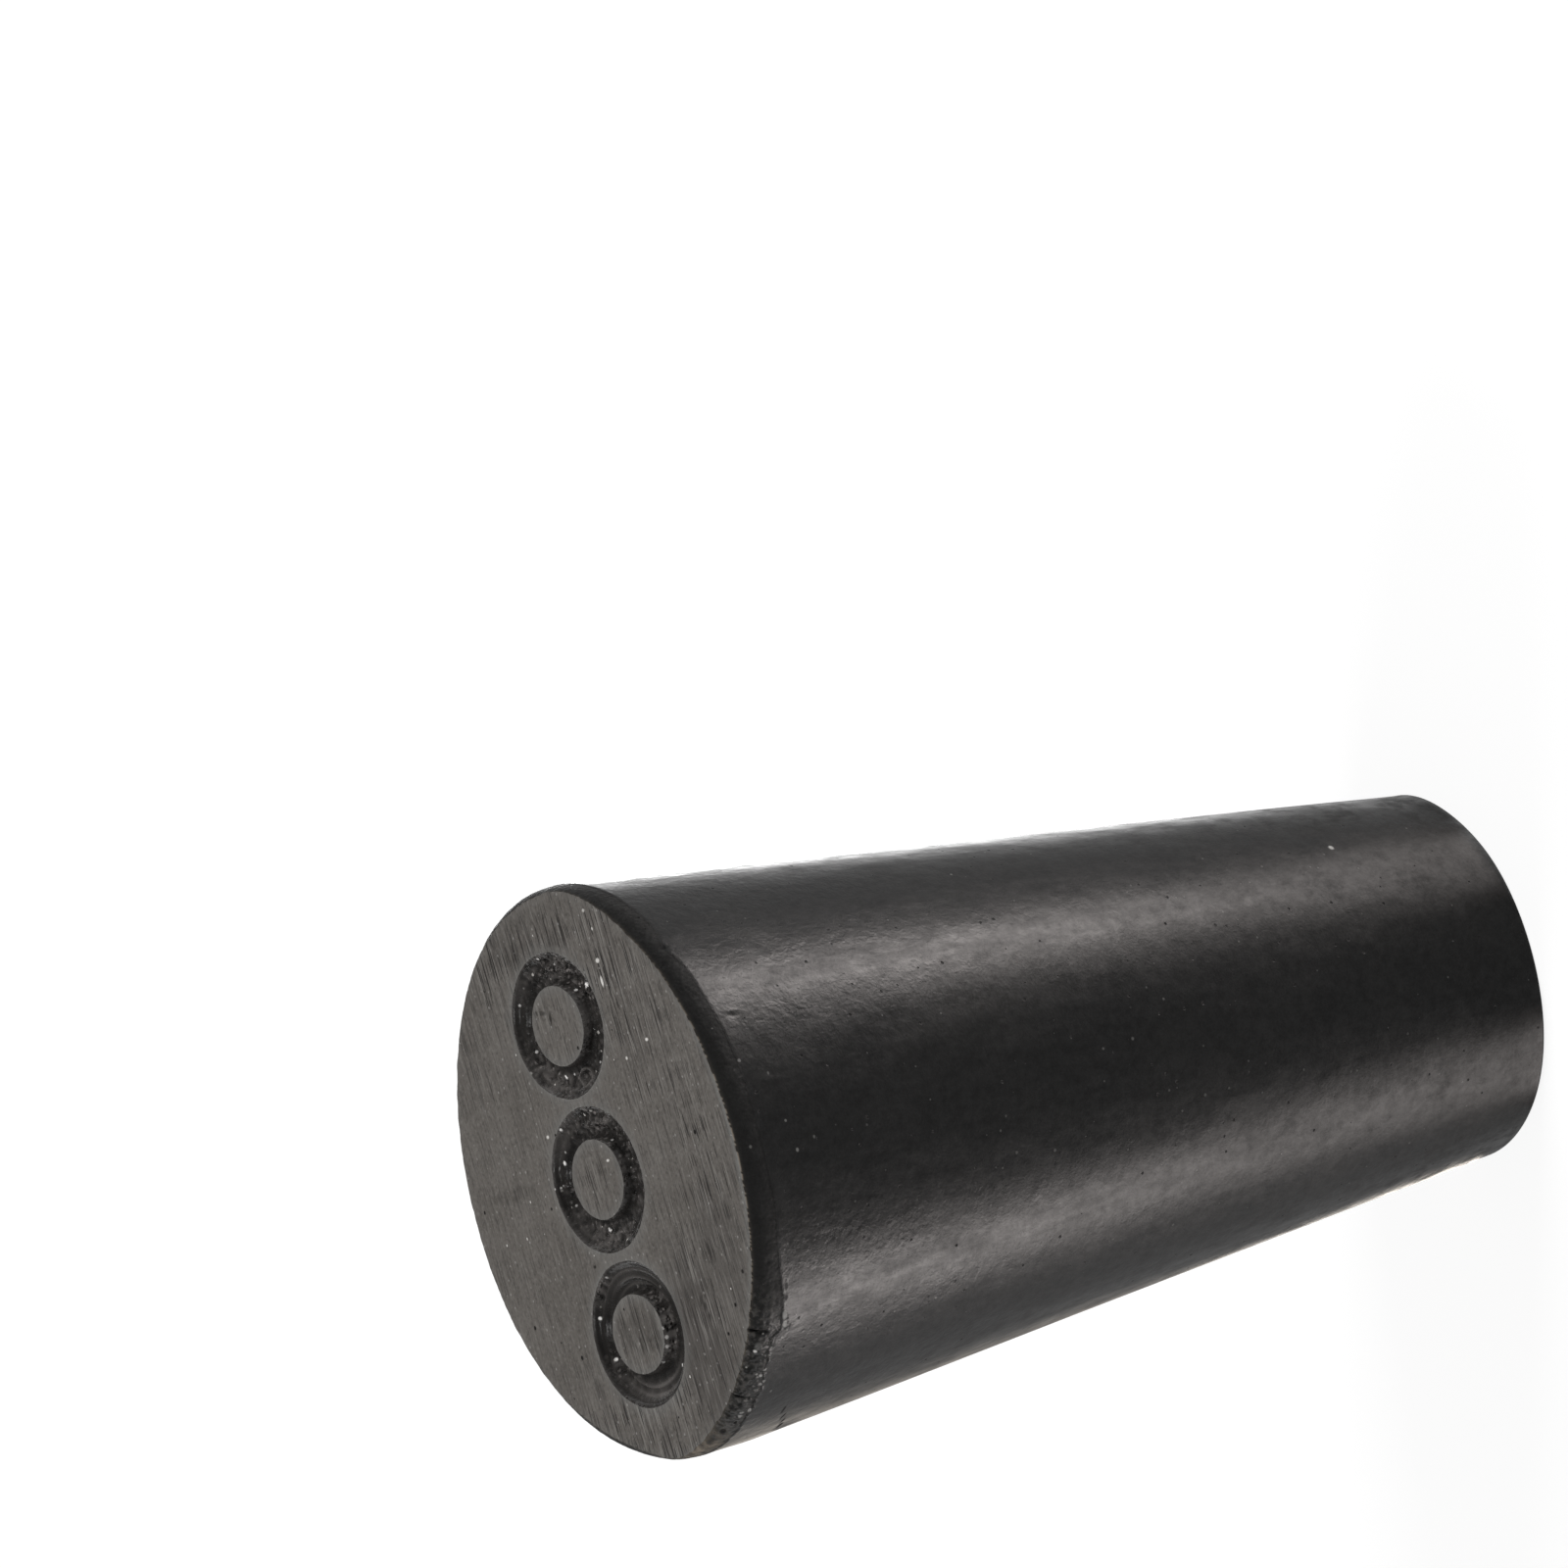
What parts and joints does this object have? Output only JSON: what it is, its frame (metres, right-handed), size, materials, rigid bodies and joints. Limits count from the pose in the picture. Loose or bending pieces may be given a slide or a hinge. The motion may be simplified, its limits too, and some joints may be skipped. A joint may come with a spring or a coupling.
{
  "type": "rubber stopper",
  "caption": "Small solid tapered rubber stopper with flat ends; its size number, a row of zeros, is pressed into the large end.",
  "frame": {"origin": "centre of the small end face, which the part stands on", "axes": "+Z along the taper's axis towards the large end; +X along the row of zeros; +Y towards the zeros' tops"},
  "size_m": [0.0126, 0.0126, 0.0213],
  "materials": {
    "rubber_body": "satin"
  },
  "bodies": {
    "root": {"stopper": "rubber_body"}
  },
  "joints": []
}
